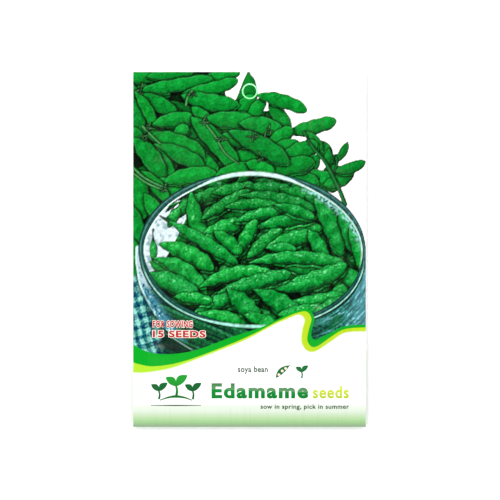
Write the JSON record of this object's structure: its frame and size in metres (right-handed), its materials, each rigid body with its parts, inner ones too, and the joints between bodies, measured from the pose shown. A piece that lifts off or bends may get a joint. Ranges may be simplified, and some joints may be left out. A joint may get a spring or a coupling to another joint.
{
  "type": "seed packet",
  "caption": "Flat heat-sealed seed packet with a printed green picture on its front, a hang-hole mark in its header, and loose soybeans sealed inside.",
  "frame": {"origin": "under the centre of the packet's outline, on the surface that the packet lies on", "axes": "+Z out of the printed front, +Y from the bottom seal to the header, +X to the right of someone who reads the front"},
  "size_m": [0.092, 0.1404, 0.0086],
  "materials": {
    "front_print": "glossy laminated film, printed in greens on white",
    "back_print": "glossy laminated film, printed white with a pale green foot",
    "bean_skin": "satin dry seed coat"
  },
  "bodies": {
    "root": {"front_film": "front_print", "back_film": "back_print", "soybean_01": "bean_skin", "soybean_02": "bean_skin", "soybean_03": "bean_skin", "soybean_04": "bean_skin", "soybean_05": "bean_skin", "soybean_06": "bean_skin", "soybean_07": "bean_skin", "soybean_08": "bean_skin", "soybean_09": "bean_skin", "soybean_10": "bean_skin", "soybean_11": "bean_skin", "soybean_12": "bean_skin", "soybean_13": "bean_skin", "soybean_14": "bean_skin", "soybean_15": "bean_skin"}
  },
  "joints": []
}
